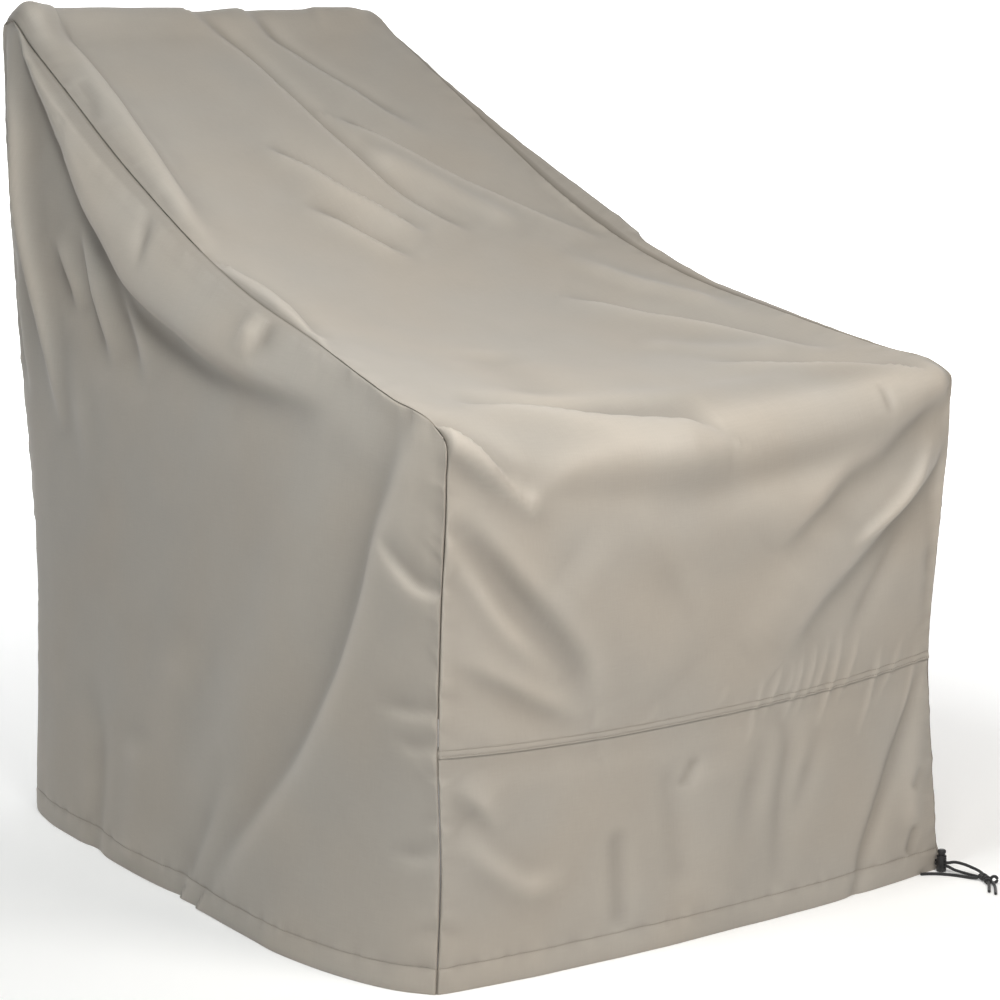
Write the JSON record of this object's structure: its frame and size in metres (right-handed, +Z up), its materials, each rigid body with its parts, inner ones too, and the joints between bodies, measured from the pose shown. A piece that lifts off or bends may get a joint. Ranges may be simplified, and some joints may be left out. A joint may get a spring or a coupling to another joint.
{
  "type": "adirondack chair cover",
  "caption": "Fitted cloth cover for an adirondack chair: boxed seat, sloping back, turned-up hem and a drawcord with a push-button lock.",
  "frame": {"origin": "the mount under the top of the back, where the chair carries the cover, midway between the side seams", "axes": "+Z up, -Y to the front of the chair, +X to its left-hand arm as seen from behind, which is the right-hand side of the picture"},
  "size_m": [0.9131, 1.2529, 1.0615],
  "materials": {
    "cover_cloth": "fine plain weave with a faint sheen, taupe",
    "lock_plastic": "moulded, satin",
    "cord": "braided elastic cord"
  },
  "bodies": {
    "cover": {"centre_panel": "cover_cloth", "front_skirt": "cover_cloth", "left_side_panel": "cover_cloth", "right_side_panel": "cover_cloth", "back_panel": "cover_cloth", "lock_barrel": "lock_plastic", "upper_cord": "cord", "lower_cord": "cord", "front_cord": "cord", "cord_knot": "cord"},
    "button": {"lock_button": "lock_plastic"}
  },
  "joints": [
    {"name": "button_press", "type": "slide", "parent": "cover", "child": "button", "axis": [0, 0, -1], "range_m": [0, 0.0028], "stiffness_N_per_m": 400}
  ]
}
